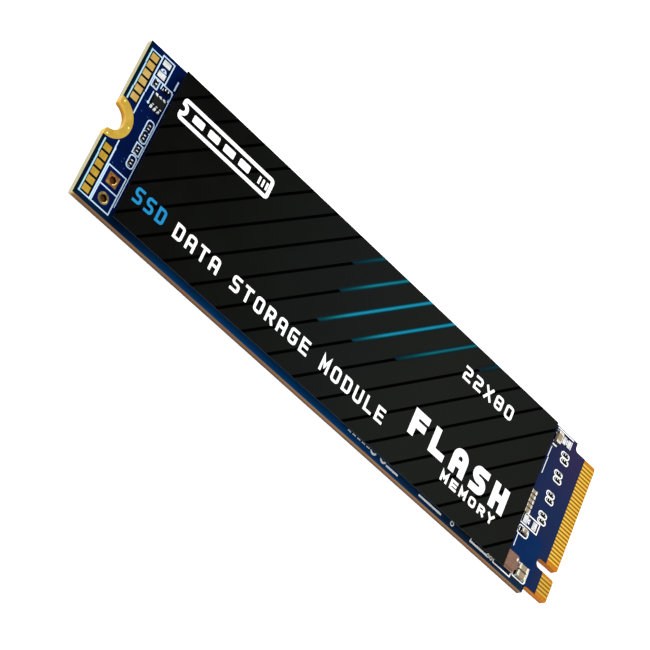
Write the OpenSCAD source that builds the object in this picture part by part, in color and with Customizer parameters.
// Single-sided M.2 2280 solid state drive: circuit board, chips, small parts and labels.
// X runs along the board from the screw end (-X) to the edge connector (+X), Y across it, Z up.
// The origin is under the middle of the board, on the surface that the drive lies on.

/* [Board] */
// Length of the board
board_length = 80; // [80:1:110]
// Width of the board
board_width = 22; // [22:0.5:28]
// Thickness of the board with both solder masks
board_thickness = 0.8; // [0.8:0.05:1.2]
// Radius of the half-round screw notch, inside its plating
notch_radius = 1.75; // [1.5:0.05:1.8]
// Radius of the plated land round the notch
land_radius = 2.75; // [2.5:0.05:2.8]

/* [Edge connector] */
// Width of the tongue that goes into the socket
tongue_width = 19.85; // [19.7:0.05:19.9]
// Length of the tongue, from the board's shoulder to its tip
tongue_length = 4; // [4:0.1:4.5]
// Width of the key slot
key_slot_width = 1.2; // [1:0.05:1.3]
// Distance of the key slot from the board's centre line
key_slot_offset = 6.125; // [6.1:0.005:6.15]
// Width of one contact
contact_width = 0.35; // [0.3:0.01:0.4]
// Length of one contact
contact_length = 1.95; // [1.6:0.05:2.2]

/* [Chips] */
// Length of a flash chip along the board
flash_length = 12; // [10:0.1:12]
// Width of a flash chip across the board
flash_width = 18; // [13:0.5:18]
// Side of the square controller chip
controller_size = 12; // [9:0.5:12]
// Height of every chip above the board
chip_height = 0.9; // [0.8:0.05:1.1]

/* [Labels] */
// Length of the label over the chips
label_length = 66.1; // [60:0.1:66.5]
// Width of the label over the chips
label_width = 21.1; // [19:0.1:21.6]
// Length of the label on the underside
back_label_length = 58; // [30:1:62]
// Width of the label on the underside
back_label_width = 17; // [10:0.5:19]

/* [Hidden] */
$fn = 48;
e = 0.01;

// layers of the board, from the underside up
back_label_thickness = 0.1;
mask_thickness = 0.025;
copper_thickness = 0.03;
inner_copper_thickness = 0.02;
prepreg_thickness = 0.1;
plating_thickness = 0.035;
mask_bottom_z = back_label_thickness;
laminate_bottom_z = mask_bottom_z + mask_thickness;
core_bottom_z = laminate_bottom_z + prepreg_thickness;
board_top_z = mask_bottom_z + board_thickness;
laminate_top_z = board_top_z - mask_thickness;
core_top_z = laminate_top_z - prepreg_thickness;
pad_top_z = laminate_top_z + copper_thickness;
pad_bottom_z = laminate_bottom_z - copper_thickness;

// board outline
end_x = board_length / 2;
edge_y = board_width / 2;
shoulder_x = end_x - tongue_length;
tongue_y = tongue_width / 2;
tongue_corner_radius = 0.3;
shoulder_fillet_radius = 0.5;
key_slot_depth = 3.5;
key_slot_radius = key_slot_width / 2;
key_slot_center_x = end_x - key_slot_depth + key_slot_radius;
key_slot_high_y = -key_slot_offset + key_slot_radius;
key_slot_low_y = -key_slot_offset - key_slot_radius;
notch_lip_radius = 0.3;
plane_inset = 0.4;

// edge contacts
contact_pitch = 0.5;
mask_end_x = end_x - 2.05;
contact_tip_gap = 0.1;
contact_start_x = end_x - contact_tip_gap - contact_length;
top_contact_first_y = 9.25;
top_contact_rows = [[0, 28], [33, 37]];
bottom_contact_first_y = 9;
bottom_contact_rows = [[0, 28], [33, 36]];

// gold test pads at the screw end
test_pad_size = [1, 0.85];
test_pad_pitch = 1.15;
test_pad_count = 6;
test_pad_x = -end_x + 1.25;
test_pad_first_y = [9.4, -3.8];

// two plated header holes
header_x = -end_x + 3.6;
header_y = [-6.5, -9.05];
header_hole_radius = 0.45;
header_land = 1.5;

// printed legend
ink_thickness = 0.012;
ink_width = 0.15;
wide_ink_width = 0.19;
fine_ink_width = 0.1;
edge_ink_width = 0.26;
capsule_ink_width = 0.16;
capsule_half_size = [0.68, 0.32];
capsule_radius = 0.3;
frame_bottom_y = -10.3;

// chip packages
ball_height = 0.15;
ball_radius = 0.2;
chip_base_thickness = 0.15;
chip_base_z = board_top_z + ball_height;
chip_case_z = chip_base_z + chip_base_thickness;
chip_top_z = board_top_z + chip_height;
flash_count = 4;
flash_pitch = 12.6;
flash_first_x = -end_x + 13;
flash_ball_pitch = 1;
flash_ball_grid = [11, 12];
flash_dies = 4;
flash_die_size = [10, 6.4];
flash_die_thickness = 0.06;
flash_die_step = 0.35;
controller_center = [end_x - 15, 2.5];
controller_ball_pitch = 0.65;
controller_ball_grid = [16, 16];
controller_die_size = [6.2, 5.6];
controller_die_thickness = 0.25;

// two-ended parts: [length, width, height, end cap length, pad length, pad width, pad centre]
size_0201 = [0.6, 0.3, 0.3, 0.15, 0.28, 0.32, 0.28];
size_0402 = [1, 0.5, 0.5, 0.25, 0.45, 0.5, 0.48];
size_0603 = [1.6, 0.75, 0.6, 0.35, 0.7, 0.8, 0.78];
solder_thickness = 0.015;
solder_climb = 0.55;
solder_hollow = 0.35;
part_z = pad_top_z + solder_thickness;
body_shrink = 0.02;

// places of the two-ended parts, each [x, y, turn about Z]
screw_x = -end_x;
screw_end_0201 = [
    [screw_x + 4.42, 1.7, 90],
    [screw_x + 4.42, 0.3, 90],
    [screw_x + 4.42, -1.48, 90],
    [screw_x + 4.42, -3.28, 90],
    [screw_x + 4.3, 7, 0],
    [screw_x + 2.72, 6.92, 90]
];
coupling_pair_y = [7.87, 5.1, 2.0, -1];
coupling_x = end_x - 5.1;
coupling_step = [-0.08, 0.4];
coupling_0201 = [
    for (y = coupling_pair_y)
        for (side = [1, -1])
            [coupling_x + side * coupling_step[0], y + side * coupling_step[1], 0]
];
capacitors_0201 = concat(screw_end_0201, coupling_0201);

row_y = edge_y - 1.4;
flash_row_x = [-4.2, -1.6, 1.6, 4.2];
flash_row_0402 = [
    for (i = [0:flash_count - 1])
        for (side = [-1, 1])
            for (dx = flash_row_x)
                [flash_first_x + i * flash_pitch + dx, side * row_y, 0]
];
gap_column_x = end_x - 22.1;
gap_column_0402 = [for (y = [-4.8:1.7:4]) [gap_column_x, y, 90]];
label_edge_0402 = [for (y = [0.8:-0.66:-1.9]) [end_x - 8, y, 0]];
controller_row_x = [for (k = [-3:3]) controller_center[0] + k * 1.6];
controller_row_y = edge_y - 1.5;
controller_row_0402 = [for (x = controller_row_x) [x, controller_row_y, 0]];
connector_0402 = [[end_x - 7.1, -4.32, 0]];
capacitors_0402 = concat(
    flash_row_0402, gap_column_0402, label_edge_0402, controller_row_0402, connector_0402
);
resistor_row_y = -4.5;
resistors_0402 = [for (x = controller_row_x) [x, resistor_row_y, 0]];

near_corner_0603 = [[end_x - 5.35, -8.56, 0], [end_x - 5.35, -9.5, 0]];
far_corner_0603 = [[end_x - 7.35, 9.4, 90]];
power_row_y = -6.3;
power_0603 = [for (k = [0:2]) [end_x - 14.6 + k * 2.4, power_row_y, 0]];
capacitors_0603 = concat(near_corner_0603, far_corner_0603, power_0603);

// light-emitting diode footprints that are left unfitted: [x, y, turn about Z]
led_pad = [0.75, 1.1];
led_pad_offset = 0.8;
led_footprints = [[screw_x + 2.97, 9.07, 90], [end_x - 6.55, -2.68, 0]];

// footprint at the far corner that is left unfitted: [pad length, pad width, pad centre]
spare_pads = [0.56, 1.05, 0.42];
spare_footprint = [end_x - 5.67, 9.9, 0];

// six-lead load switch at the screw end
switch_center = [screw_x + 4.05, 5.02];
switch_case = [1.7, 1.05, 0.36];
switch_stand_off = 0.04;
lead_pitch = 0.56;
lead_width = 0.26;
lead_foot = 0.45;
lead_thickness = 0.12;
switch_pad_margin = [0.03, 0.05];
switch_case_draft = 0.06;

// power management chip
power_chip_center = [end_x - 18.6, -7.7];
power_chip_size = 4;
power_chip_height = 0.75;
power_lead_pitch = 0.5;
power_lead_count = 7;
power_lead = [0.4, 0.24];
power_lead_frame = 0.2;
power_pad_size = 2.4;

// power inductors
inductor_size = [2.5, 2.1, 0.8];
inductor_y = -8.95;
inductor_x = [end_x - 7.8, end_x - 10.9, end_x - 14];
inductor_flange = 0.24;
inductor_corner = 0.35;
inductor_coil_radius = [0.5, 0.82];
inductor_coil_height = 0.28;
inductor_terminal = [0.6, 1.9, 0.06];
inductor_terminal_x = (inductor_size[0] - inductor_terminal[0]) / 2;
inductor_step = 0.12;

// clock crystal
crystal_center = [gap_column_x, 7.4];
crystal_size = [1.6, 2, 0.4];
crystal_lid = [1.3, 1.7, 0.05];
crystal_well = [1.05, 1.45, 0.2];
crystal_blank = [0.8, 1.2, 0.06];
crystal_shelf = [0.56, 0.2, 0.1];
crystal_shelf_inset = 0.12;
crystal_pad = [0.5, 0.6];

// labels
label_center = [-1.83, -0.05];
adhesive_thickness = 0.04;
film_thickness = 0.06;

SINGLE_NODES = [
    "board_core", "prepreg_top", "prepreg_bottom", "ground_plane", "power_plane",
    "solder_mask_top", "solder_mask_bottom", "board_legend", "screw_land",
    "contacts_top", "contacts_bottom", "test_pads", "header_hole_plating", "part_pads",
    "controller_case", "controller_die", "controller_base", "controller_solder_balls",
    "power_chip_case", "power_chip_leads",
    "inductor_cores", "inductor_coils", "inductor_terminals",
    "load_switch_case", "load_switch_leads",
    "crystal_base", "crystal_lid", "crystal_blank",
    "capacitor_bodies_0201", "capacitor_ends_0201",
    "capacitor_bodies_0402", "capacitor_ends_0402",
    "capacitor_bodies_0603", "capacitor_ends_0603",
    "resistor_bodies", "resistor_ends", "solder_joints",
    "label_adhesive", "label_film", "back_label"
];
FLASH_PIECES = ["case", "dies", "base", "solder_balls"];
function flash_node(i, piece) = str("flash_chip_", i, "_", piece);

// ---------------------------------------------------------------- helpers

// Extrudes a flat shape between two heights.
module between(low_z, high_z) {
    translate([0, 0, low_z]) linear_extrude(high_z - low_z) children();
}

// Rectangle from one corner to the opposite one.
module rect(x0, y0, x1, y1) {
    translate([min(x0, x1), min(y0, y1)]) square([abs(x1 - x0), abs(y1 - y0)]);
}

// Rectangle with four rounded corners.
module round_rect(x0, y0, x1, y1, r) {
    rect(x0 + r, y0, x1 - r, y1);
    rect(x0, y0 + r, x1, y1 - r);
    for (x = [x0 + r, x1 - r])
        for (y = [y0 + r, y1 - r])
            translate([x, y]) circle(r);
}

// Straight legend line with square ends.
module line(x0, y0, x1, y1, w = ink_width) {
    translate([x0, y0])
        rotate(atan2(y1 - y0, x1 - x0))
            translate([-w / 2, -w / 2])
                square([norm([x1 - x0, y1 - y0]) + w, w]);
}

// Rectangular legend outline, measured on the middle of its line.
module outline_box(x0, y0, x1, y1, w = ink_width) {
    difference() {
        rect(x0 - w / 2, y0 - w / 2, x1 + w / 2, y1 + w / 2);
        rect(x0 + w / 2, y0 + w / 2, x1 - w / 2, y1 - w / 2);
    }
}

// Legend outline with rounded corners, measured on the middle of its line.
module outline_round(x0, y0, x1, y1, r, w = ink_width) {
    difference() {
        round_rect(x0 - w / 2, y0 - w / 2, x1 + w / 2, y1 + w / 2, r + w / 2);
        round_rect(x0 + w / 2, y0 + w / 2, x1 - w / 2, y1 - w / 2, r - w / 2);
    }
}

// Puts the children at each place of a list of [x, y, turn].
module at_places(places) {
    for (p = places)
        translate([p[0], p[1]]) rotate(p[2]) children();
}

// Centred block that stands on z = 0.
module block(size) {
    translate([-size[0] / 2, -size[1] / 2, 0]) cube(size);
}

// ---------------------------------------------------------------- board

// Prong of the tongue: square at the board, rounded at its tip.
module prong(low_y, high_y) {
    r = tongue_corner_radius;
    rect(shoulder_x - 1, low_y, end_x - r, high_y);
    rect(end_x - 2 * r, low_y + r, end_x, high_y - r);
    for (y = [low_y + r, high_y - r])
        translate([end_x - r, y]) circle(r);
}

// Fills the inside corner between a shoulder and the tongue.
module shoulder_fillet() {
    r = shoulder_fillet_radius;
    difference() {
        rect(shoulder_x - 0.5, tongue_y - 0.5, shoulder_x + r, tongue_y + r);
        translate([shoulder_x + r, tongue_y + r]) circle(r);
    }
}

// Corner of material that the rounded lip of the notch takes away, and a further layer if asked.
module notch_lip_cut(layer = 0) {
    r = notch_lip_radius;
    reach = notch_radius + r;
    lip_y = sqrt(reach * reach - r * r);
    share = (notch_radius + layer) / reach;
    difference() {
        translate([-end_x, 0])
            polygon([[-1, 0], [-1, lip_y], [r, lip_y], [r * share, lip_y * share], [0, 0]]);
        translate([-end_x + r, lip_y]) circle(r - layer);
    }
}

// Outline of the board; a layer can be left off the wall of the notch for its plating.
module board_outline(layer = 0) {
    difference() {
        union() {
            rect(-end_x, -edge_y, shoulder_x, edge_y);
            prong(key_slot_high_y, tongue_y);
            prong(-tongue_y, key_slot_low_y);
            rect(shoulder_x - 1, key_slot_low_y - 0.5, key_slot_center_x, key_slot_high_y + 0.5);
            shoulder_fillet();
            mirror([0, 1]) shoulder_fillet();
        }
        translate([key_slot_center_x, -key_slot_offset]) circle(key_slot_radius);
        translate([-end_x, 0]) circle(notch_radius + layer);
        notch_lip_cut(layer);
        mirror([0, 1]) notch_lip_cut(layer);
        if (layer > 0)
            rect(-end_x - 1, -land_radius, -end_x + layer, land_radius);
    }
}

module header_holes_2d() {
    for (y = header_y)
        translate([header_x, y]) circle(header_hole_radius + plating_thickness);
}

// Outline of one laminate layer.
module laminate_2d() {
    difference() {
        board_outline(plating_thickness);
        header_holes_2d();
    }
}

// Copper sheet inside the board, kept back from every edge and hole.
module inner_plane_2d() {
    difference() {
        rect(-end_x + plane_inset, -edge_y + plane_inset, shoulder_x - plane_inset, edge_y - plane_inset);
        translate([-end_x, 0]) circle(notch_radius + plating_thickness + plane_inset);
        for (y = header_y)
            translate([header_x, y]) circle(header_land / 2);
    }
}

module board_core() {
    color([0.72, 0.60, 0.40])
        difference() {
            between(core_bottom_z, core_top_z) laminate_2d();
            between(core_top_z - inner_copper_thickness, core_top_z + 1) inner_plane_2d();
            between(core_bottom_z - 1, core_bottom_z + inner_copper_thickness) inner_plane_2d();
        }
}

module prepreg_top() {
    color([0.76, 0.48, 0.16]) between(core_top_z, laminate_top_z) laminate_2d();
}

module prepreg_bottom() {
    color([0.76, 0.48, 0.16]) between(laminate_bottom_z, core_bottom_z) laminate_2d();
}

module ground_plane() {
    color([0.75, 0.45, 0.25]) between(core_top_z - inner_copper_thickness, core_top_z) inner_plane_2d();
}

module power_plane() {
    color([0.75, 0.45, 0.25]) between(core_bottom_z, core_bottom_z + inner_copper_thickness) inner_plane_2d();
}

// Half ring of the screw land.
module screw_land_2d() {
    intersection() {
        board_outline();
        translate([-end_x, 0]) circle(land_radius);
    }
}

// Plating on the wall of the notch, round its lips and on the board's end beside it.
module notch_plating_2d() {
    difference() {
        intersection() {
            board_outline();
            rect(-end_x, -land_radius, -end_x + land_radius, land_radius);
        }
        board_outline(plating_thickness);
    }
}

// Plated lands above and below the board, joined by the plated wall.
module screw_land() {
    color([0.79, 0.64, 0.22]) {
        between(laminate_top_z, pad_top_z) screw_land_2d();
        between(laminate_bottom_z, laminate_top_z) notch_plating_2d();
        between(pad_bottom_z, laminate_bottom_z) screw_land_2d();
    }
}

// Row of contacts on one face; each range in rows is a run of contact numbers.
module contacts(first_y, rows) {
    for (range = rows)
        for (k = [range[0]:range[1]])
            translate([contact_start_x, first_y - k * contact_pitch - contact_width / 2])
                square([contact_length, contact_width]);
}

module contacts_top() {
    color([0.94, 0.75, 0.31])
        between(laminate_top_z, pad_top_z) contacts(top_contact_first_y, top_contact_rows);
}

module contacts_bottom() {
    color([0.94, 0.75, 0.31])
        between(pad_bottom_z, laminate_bottom_z) contacts(bottom_contact_first_y, bottom_contact_rows);
}

module test_pads_2d() {
    for (first_y = test_pad_first_y)
        for (i = [0:test_pad_count - 1])
            translate([test_pad_x, first_y - i * test_pad_pitch]) square(test_pad_size, center = true);
}

module test_pads() {
    color([0.85, 0.68, 0.32]) between(laminate_top_z, pad_top_z) test_pads_2d();
}

// The first header land is square and the second is round.
module header_land_2d(i) {
    translate([header_x, header_y[i]])
        if (i == 0)
            square(header_land, center = true);
        else
            circle(header_land / 2);
}

module header_hole_plating() {
    color([0.72, 0.52, 0.22])
        for (i = [0, 1])
            difference() {
                union() {
                    between(laminate_top_z, pad_top_z) header_land_2d(i);
                    between(pad_bottom_z, laminate_bottom_z) header_land_2d(i);
                    between(laminate_bottom_z, laminate_top_z)
                        translate([header_x, header_y[i]]) circle(header_hole_radius + plating_thickness);
                }
                between(pad_bottom_z - 1, pad_top_z + 1)
                    translate([header_x, header_y[i]]) circle(header_hole_radius);
            }
}

// Two pads of a given length and width, each a set distance from the middle.
module pad_row_2d(length, width, centre) {
    for (side = [-1, 1])
        translate([side * centre, 0]) square([length, width], center = true);
}

// The two pads of a two-ended part.
module pad_pair_2d(size) {
    pad_row_2d(size[4], size[5], size[6]);
}

module led_pads_2d() {
    pad_row_2d(led_pad[0], led_pad[1], led_pad_offset);
}

// One pad under each lead of the load switch.
module switch_pads_2d() {
    for (side = [-1, 1])
        for (k = [-1:1])
            translate([
                switch_center[0] + k * lead_pitch,
                switch_center[1] + side * (switch_case[1] / 2 + lead_foot / 2)
            ])
                square([lead_width, lead_foot] + 2 * switch_pad_margin, center = true);
}

module power_chip_pads_2d() {
    translate(power_chip_center) {
        square(power_pad_size, center = true);
        for (turn = [0:90:270])
            rotate(turn)
                for (k = [0:power_lead_count - 1])
                    translate([
                        power_chip_size / 2 - power_lead[0] / 2,
                        (k - (power_lead_count - 1) / 2) * power_lead_pitch
                    ])
                        square(power_lead, center = true);
    }
}

module inductor_pads_2d() {
    for (x = inductor_x)
        for (side = [-1, 1])
            translate([x + side * inductor_terminal_x, inductor_y])
                square([inductor_terminal[0], inductor_terminal[1]], center = true);
}

module crystal_pads_2d() {
    for (sx = [-1, 1])
        for (sy = [-1, 1])
            translate([
                crystal_center[0] + sx * (crystal_size[0] - crystal_pad[0]) / 2,
                crystal_center[1] + sy * (crystal_size[1] - crystal_pad[1]) / 2
            ])
                square(crystal_pad, center = true);
}

// Every pad that a small part stands on.
module part_pads_2d() {
    at_places(capacitors_0201) pad_pair_2d(size_0201);
    at_places(capacitors_0402) pad_pair_2d(size_0402);
    at_places(resistors_0402) pad_pair_2d(size_0402);
    at_places(capacitors_0603) pad_pair_2d(size_0603);
    at_places(led_footprints) led_pads_2d();
    at_places([spare_footprint]) pad_row_2d(spare_pads[0], spare_pads[1], spare_pads[2]);
    switch_pads_2d();
    power_chip_pads_2d();
    inductor_pads_2d();
    crystal_pads_2d();
}

module part_pads() {
    color([0.80, 0.80, 0.80]) between(laminate_top_z, pad_top_z) part_pads_2d();
}

// Outline shared by both solder masks: short of the contacts, and open round the screw land and header.
module mask_2d() {
    difference() {
        board_outline();
        rect(mask_end_x, -edge_y - 1, end_x + 1, edge_y + 1);
        translate([-end_x, 0]) circle(land_radius);
        header_land_2d(0);
        header_land_2d(1);
    }
}

module solder_mask_top() {
    color([0.02, 0.07, 0.27])
        between(laminate_top_z, board_top_z)
            difference() {
                mask_2d();
                test_pads_2d();
                part_pads_2d();
            }
}

module solder_mask_bottom() {
    color([0.02, 0.07, 0.27]) between(mask_bottom_z, laminate_bottom_z) mask_2d();
}

// ---------------------------------------------------------------- legend

// Frames round the two columns of test pads. Each long line is drawn in strokes that don't quite meet.
module test_pad_frames() {
    w = wide_ink_width;
    slip = 0.05;
    left = screw_x + 0.5;
    right = screw_x + 2.06;
    top = 10.1;
    bottom = frame_bottom_y;
    line(left, 2.95, left, 4.6, w);
    line(left + slip, 4.85, left + slip, 8.05, w);
    line(left, 8.3, left, top, w);
    line(left, top, right, top);
    line(right, 1.98, right, 4.95);
    line(right + slip, 5.2, right + slip, top);
    line(left, -3.08, left, -4.8, w);
    line(left + slip, -5.02, left + slip, bottom, w);
    line(left, bottom, right, bottom);
    line(right, -2.1, right, -3.1);
    line(right + slip, -3.1, right + slip, bottom, w);
    line(right, -3.1, right + 3 * slip, -3.3, fine_ink_width);
}

// Box round the two header holes, with a bar between them.
module header_frame() {
    left = header_x - 1.28;
    right = header_x + 1.36;
    top = header_y[0] + 1.27;
    bar = (header_y[0] + header_y[1]) / 2;
    outline_box(left, frame_bottom_y, right, top);
    line(left, bar, right, bar);
}

// Half-moon mark that shows which way round a diode goes.
module diode_mark(radius = 0.42) {
    difference() {
        circle(radius);
        translate([0, -radius]) square(2 * radius, center = true);
        translate([0, radius * 0.4]) circle(radius * 0.3);
    }
}

// Outlines at the screw end.
module screw_end_legend() {
    // unfitted diode
    led = led_footprints[0];
    outline_box(led[0] - 0.88, led[1] - 1.5, led[0] + 0.88, led[1] + 1.45);
    translate([led[0], led[1] - 0.32]) diode_mark();
    // small parts below it
    outline_box(screw_x + 2.32, 6.35, screw_x + 3.2, 7.5);
    line(screw_x + 3.6, 7.5, screw_x + 5.05, 7.5);
    line(screw_x + 3.6, 6.9, screw_x + 3.6, 7.5);
    line(screw_x + 5.05, 7.5, screw_x + 5.2, 7.2);
    // load switch: side line, corner mark and first-lead dot
    line(screw_x + 3, 4.55, screw_x + 3, 5.9);
    translate([screw_x + 2.98, 4.35]) circle(0.17);
    line(screw_x + 5.08, 6.1, screw_x + 5.08, 6.4, fine_ink_width);
    // capsules round the small capacitors
    x0 = screw_x + 4.06;
    x1 = screw_x + 5;
    tick = 0.18;
    outline_round(x0, -0.3, x1, 2.75, 0.38);
    line(x0, 1.2, x0 + tick, 1.2, fine_ink_width);
    line(x1 - tick, 1.2, x1, 1.2, fine_ink_width);
    outline_box(x0, -2.02, x1, -0.62);
    outline_round(x0, -3.92, x1, -2.25, 0.38);
    // lines along the label's end
    line(screw_x + 5.18, 7.95, screw_x + 5.18, 9.1, wide_ink_width);
    line(screw_x + 5.22, 7.4, screw_x + 5.22, -9, fine_ink_width);
}

// Outlines near the connector.
module connector_legend() {
    half = capsule_half_size;
    for (place = coupling_0201)
        translate([place[0], place[1]])
            outline_round(-half[0], -half[1], half[0], half[1], capsule_radius, capsule_ink_width);
    // unfitted diode
    led = led_footprints[1];
    outline_box(led[0] - 1.5, led[1] - 0.73, led[0] + 1.5, led[1] + 0.73);
    translate([led[0] - 0.1, led[1]]) rotate(90) diode_mark(0.35);
    // unfitted part at the far corner
    spare = spare_footprint;
    line(end_x - 7.65, 10.8, end_x - 4.8, 10.8);
    line(spare[0] - 0.85, spare[1] + 0.55, spare[0] - 0.85, spare[1] - 0.5, fine_ink_width);
    line(spare[0] + 0.82, spare[1] + 0.55, spare[0] + 0.82, spare[1] - 0.5, fine_ink_width);
    translate([spare[0], spare[1]]) square([0.12, 0.7], center = true);
    // chip outline that shows past the label's end
    line(end_x - 7.65, 7.95, end_x - 7.72, 6.5, fine_ink_width);
    line(end_x - 7.62, 6.35, end_x - 7.66, 4, fine_ink_width);
    line(end_x - 7.7, -5, end_x - 7.7, -6.7, fine_ink_width);
    // capacitor below the diode
    outline_round(end_x - 8.05, -4.9, end_x - 6.2, -3.78, 0.4);
    // capacitors at the near corner
    outline_round(end_x - 6.5, -10.02, end_x - 4.15, -7.95, 0.35);
    // inductor
    inductor_line_y = -10.5;
    inductor_line_x = [end_x - 9.7, end_x - 6.6];
    line(inductor_line_x[0], inductor_line_y, inductor_line_x[1], inductor_line_y);
    for (x = inductor_line_x)
        line(x, inductor_line_y, x, inductor_line_y + 0.4);
}

module small_ring(outer_radius, inner_radius) {
    difference() {
        circle(outer_radius);
        circle(inner_radius);
    }
}

// Lower half of a ring.
module half_circle_line(radius, w) {
    difference() {
        small_ring(radius + w / 2, radius - w / 2);
        translate([0, radius]) square(2 * radius + w, center = true);
    }
}

// Bits of outlines that show beside the label's near edge.
module near_edge_legend() {
    w = edge_ink_width;
    y = -10.2;
    line_y = y - 0.2;
    dash = 0.4;
    for (x = [4.2:2 * dash:7.6])
        line(x, y, x + dash, y);
    for (x = [8.55, 10.25])
        translate([x, y + 0.2]) half_circle_line(0.42, w);
    for (span = [[11, 12.8], [16.8, 20.6], [26.1, 29]])
        line(span[0], line_y, span[1], line_y, w);
    line(26.1, line_y, 26.1, y + 0.1);
    translate([22.7, y - 0.1]) small_ring(0.32, 0.18);
    for (x = [29.3, 29.85])
        translate([x, y - 0.08]) small_ring(0.26, 0.13);
}

module board_legend() {
    color([0.93, 0.95, 0.97])
        between(board_top_z, board_top_z + ink_thickness) {
            test_pad_frames();
            header_frame();
            screw_end_legend();
            connector_legend();
            near_edge_legend();
        }
}

// ---------------------------------------------------------------- chips

// Grid of solder balls under a chip, as short round columns.
module solder_balls(center, grid, pitch) {
    color([0.78, 0.78, 0.80])
        for (i = [0:grid[0] - 1])
            for (j = [0:grid[1] - 1])
                translate([
                    center[0] + (i - (grid[0] - 1) / 2) * pitch,
                    center[1] + (j - (grid[1] - 1) / 2) * pitch,
                    board_top_z
                ])
                    cylinder(h = ball_height, r = ball_radius);
}

// Thin board that carries a chip's die.
module chip_base(center, size) {
    color([0.10, 0.22, 0.14])
        translate([center[0], center[1], chip_base_z]) block([size[0], size[1], chip_base_thickness]);
}

function flash_center(i) = [flash_first_x + (i - 1) * flash_pitch, 0];

// Stack of dies, each shifted a step so that its bond pads stay free.
module flash_die_stack(i) {
    c = flash_center(i);
    for (k = [0:flash_dies - 1])
        translate([
            c[0] + (k - (flash_dies - 1) / 2) * flash_die_step,
            c[1],
            chip_case_z + k * flash_die_thickness
        ])
            block([flash_die_size[0], flash_die_size[1], flash_die_thickness]);
}

module flash_case(i) {
    c = flash_center(i);
    color([0.09, 0.09, 0.09])
        difference() {
            translate([c[0], c[1], chip_case_z]) block([flash_length, flash_width, chip_top_z - chip_case_z]);
            flash_die_stack(i);
        }
}

module flash_dies(i) {
    color([0.45, 0.47, 0.52]) flash_die_stack(i);
}

module flash_piece(i, piece) {
    if (piece == "case") flash_case(i);
    if (piece == "dies") flash_dies(i);
    if (piece == "base") chip_base(flash_center(i), [flash_length, flash_width]);
    if (piece == "solder_balls") solder_balls(flash_center(i), flash_ball_grid, flash_ball_pitch);
}

module controller_die_block() {
    translate([controller_center[0], controller_center[1], chip_case_z])
        block([controller_die_size[0], controller_die_size[1], controller_die_thickness]);
}

module controller_case() {
    color([0.09, 0.09, 0.09])
        difference() {
            translate([controller_center[0], controller_center[1], chip_case_z])
                block([controller_size, controller_size, chip_top_z - chip_case_z]);
            controller_die_block();
        }
}

module controller_die() {
    color([0.45, 0.47, 0.52]) controller_die_block();
}

module controller_base() {
    chip_base(controller_center, [controller_size, controller_size]);
}

module controller_solder_balls() {
    edge_rows = 2;
    pitch = min(controller_ball_pitch, controller_size / (controller_ball_grid[0] + edge_rows));
    solder_balls(controller_center, controller_ball_grid, pitch);
}

// Leads and middle pad of the power chip, flush with its underside.
module power_chip_leads() {
    color([0.80, 0.80, 0.80]) between(pad_top_z, pad_top_z + power_lead_frame) power_chip_pads_2d();
}

module power_chip_case() {
    color([0.10, 0.10, 0.10])
        difference() {
            translate([power_chip_center[0], power_chip_center[1], pad_top_z])
                block([power_chip_size, power_chip_size, power_chip_height]);
            between(pad_top_z - 1, pad_top_z + power_lead_frame) power_chip_pads_2d();
        }
}

// Moulded case of the load switch, with its sides drawn in a little at the top.
module load_switch_case() {
    side = switch_case[1] / 2;
    half_height = switch_case[2] / 2;
    draft = switch_case_draft;
    color([0.07, 0.07, 0.07])
        translate([switch_center[0], switch_center[1], part_z + switch_stand_off])
            rotate([90, 0, 90])
                linear_extrude(switch_case[0], center = true)
                    polygon([
                        [-side + draft, 0], [side - draft, 0], [side, half_height],
                        [side - draft, 2 * half_height], [-side + draft, 2 * half_height],
                        [-side, half_height]
                    ]);
}

// One bent lead: foot, riser and the stub that enters the case.
module switch_lead() {
    stub_z = switch_stand_off + switch_case[2] / 2 - lead_thickness / 2;
    color([0.85, 0.85, 0.85])
        rotate([90, 0, 90])
            linear_extrude(lead_width, center = true)
                polygon([
                    [0, stub_z], [0, stub_z + lead_thickness],
                    [lead_thickness * 1.2, stub_z + lead_thickness],
                    [lead_thickness * 1.7, lead_thickness],
                    [lead_foot, lead_thickness], [lead_foot, 0],
                    [lead_thickness * 0.8, 0], [lead_thickness * 0.5, stub_z]
                ]);
}

module load_switch_leads() {
    for (side = [0, 180])
        for (k = [-1:1])
            translate([switch_center[0] + k * lead_pitch, switch_center[1], part_z])
                rotate(side)
                    translate([0, switch_case[1] / 2, 0]) switch_lead();
}

// ---------------------------------------------------------------- power inductors and crystal

// Block with its four upright corners cut off.
module chamfered_block(size, corner) {
    a = size[0] / 2;
    b = size[1] / 2;
    linear_extrude(size[2])
        polygon([
            [-a + corner, -b], [a - corner, -b], [a, -b + corner], [a, b - corner],
            [a - corner, b], [-a + corner, b], [-a, b - corner], [-a, -b + corner]
        ]);
}

module coil_ring() {
    translate([0, 0, (inductor_size[2] - inductor_coil_height) / 2])
        difference() {
            cylinder(h = inductor_coil_height, r = inductor_coil_radius[1]);
            translate([0, 0, -1]) cylinder(h = inductor_coil_height + 2, r = inductor_coil_radius[0]);
        }
}

// Pressed ferrite body: a square foot and a chamfered upper part round the coil.
module inductor_cores() {
    color([0.56, 0.42, 0.37])
        for (x = inductor_x)
            translate([x, inductor_y, part_z])
                difference() {
                    union() {
                        block([inductor_size[0], inductor_size[1], inductor_flange]);
                        chamfered_block(inductor_size - [inductor_step, inductor_step, 0], inductor_corner);
                    }
                    coil_ring();
                    for (side = [-1, 1])
                        translate([side * inductor_terminal_x, 0, -e])
                            block([inductor_terminal[0] + e, inductor_terminal[1], inductor_terminal[2] + e]);
                }
}

module inductor_coils() {
    color([0.78, 0.45, 0.20])
        for (x = inductor_x)
            translate([x, inductor_y, part_z]) coil_ring();
}

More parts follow.
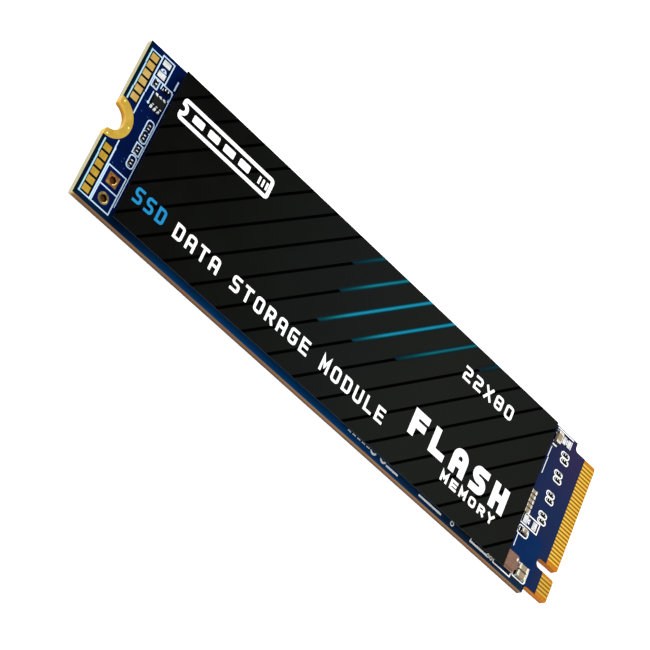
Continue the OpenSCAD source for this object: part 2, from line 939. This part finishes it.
module inductor_terminals() {
    color([0.80, 0.80, 0.80])
        for (x = inductor_x)
            for (side = [-1, 1])
                translate([x + side * inductor_terminal_x, inductor_y, pad_top_z])
                    block(inductor_terminal + [0, 0, solder_thickness]);
}

module crystal_base() {
    color([0.55, 0.50, 0.45])
        translate([crystal_center[0], crystal_center[1], pad_top_z])
            difference() {
                block(crystal_size);
                translate([0, 0, crystal_size[2] - crystal_well[2]])
                    block([crystal_well[0], crystal_well[1], crystal_well[2] + 1]);
            }
}

module crystal_lid() {
    color([0.75, 0.75, 0.77])
        translate([crystal_center[0], crystal_center[1], pad_top_z + crystal_size[2]]) block(crystal_lid);
}

// Quartz blank, held at one end on a shelf of conductive glue.
module crystal_blank() {
    floor_z = pad_top_z + crystal_size[2] - crystal_well[2];
    color([0.85, 0.87, 0.90])
        translate([crystal_center[0], crystal_center[1], floor_z]) {
            translate([0, 0, crystal_shelf[2] - e]) block(crystal_blank);
            translate([0, -crystal_blank[1] / 2 + crystal_shelf_inset, 0]) block(crystal_shelf);
        }
}

// ---------------------------------------------------------------- two-ended parts

module part_body(size) {
    translate([0, 0, part_z + body_shrink])
        block([
            size[0] - 2 * size[3],
            size[1] - 2 * body_shrink,
            size[2] - 2 * body_shrink
        ]);
}

module part_ends(size) {
    for (side = [-1, 1])
        translate([side * (size[0] - size[3]) / 2, 0, part_z])
            block([size[3], size[1], size[2]]);
}

// Solder under both ends of a part and up their outer faces.
module solder_pair(size) {
    inner = size[6] - size[4] / 2;
    outer = size[6] + size[4] / 2;
    end = size[0] / 2;
    climb = solder_climb * size[2];
    for (side = [0, 180])
        rotate(side)
            translate([0, 0, pad_top_z])
                rotate([90, 0, 0])
                    linear_extrude(size[1], center = true)
                        polygon([
                            [inner, 0], [outer, 0],
                            [end + (outer - end) * solder_hollow, climb * solder_hollow],
                            [end, climb], [end, solder_thickness], [inner, solder_thickness]
                        ]);
}

module capacitor_bodies_0201() {
    color([0.45, 0.38, 0.30]) at_places(capacitors_0201) part_body(size_0201);
}

module capacitor_ends_0201() {
    color([0.85, 0.85, 0.84]) at_places(capacitors_0201) part_ends(size_0201);
}

module capacitor_bodies_0402() {
    color([0.72, 0.66, 0.53]) at_places(capacitors_0402) part_body(size_0402);
}

module capacitor_ends_0402() {
    color([0.85, 0.85, 0.84]) at_places(capacitors_0402) part_ends(size_0402);
}

module capacitor_bodies_0603() {
    color([0.72, 0.66, 0.53]) at_places(capacitors_0603) part_body(size_0603);
}

module capacitor_ends_0603() {
    color([0.85, 0.85, 0.84]) at_places(capacitors_0603) part_ends(size_0603);
}

module resistor_bodies() {
    color([0.06, 0.06, 0.06]) at_places(resistors_0402) part_body(size_0402);
}

module resistor_ends() {
    color([0.85, 0.85, 0.84]) at_places(resistors_0402) part_ends(size_0402);
}

module solder_joints() {
    color([0.76, 0.76, 0.77]) {
        at_places(capacitors_0201) solder_pair(size_0201);
        at_places(capacitors_0402) solder_pair(size_0402);
        at_places(resistors_0402) solder_pair(size_0402);
        at_places(capacitors_0603) solder_pair(size_0603);
        between(pad_top_z, part_z) switch_pads_2d();
    }
}

// ---------------------------------------------------------------- labels

module label_2d() {
    translate(label_center) square([label_length, label_width], center = true);
}

module label_adhesive() {
    color([0.55, 0.53, 0.45]) between(chip_top_z, chip_top_z + adhesive_thickness) label_2d();
}

module label_film() {
    low_z = chip_top_z + adhesive_thickness;
    color([0.11, 0.12, 0.12]) between(low_z, low_z + film_thickness) label_2d();
}

module back_label() {
    color([0.92, 0.92, 0.90])
        between(0, back_label_thickness)
            translate([label_center[0], 0]) square([back_label_length, back_label_width], center = true);
}

// ---------------------------------------------------------------- nodes

board_core();
prepreg_top();
prepreg_bottom();
ground_plane();
power_plane();
solder_mask_top();
solder_mask_bottom();
board_legend();
screw_land();
contacts_top();
contacts_bottom();
test_pads();
header_hole_plating();
part_pads();
controller_case();
controller_die();
controller_base();
controller_solder_balls();
power_chip_case();
power_chip_leads();
inductor_cores();
inductor_coils();
inductor_terminals();
load_switch_case();
load_switch_leads();
crystal_base();
crystal_lid();
crystal_blank();
capacitor_bodies_0201();
capacitor_ends_0201();
capacitor_bodies_0402();
capacitor_ends_0402();
capacitor_bodies_0603();
capacitor_ends_0603();
resistor_bodies();
resistor_ends();
solder_joints();
label_adhesive();
label_film();
back_label();
for (i = [1:flash_count])
    for (piece = FLASH_PIECES)
        flash_piece(i, piece);
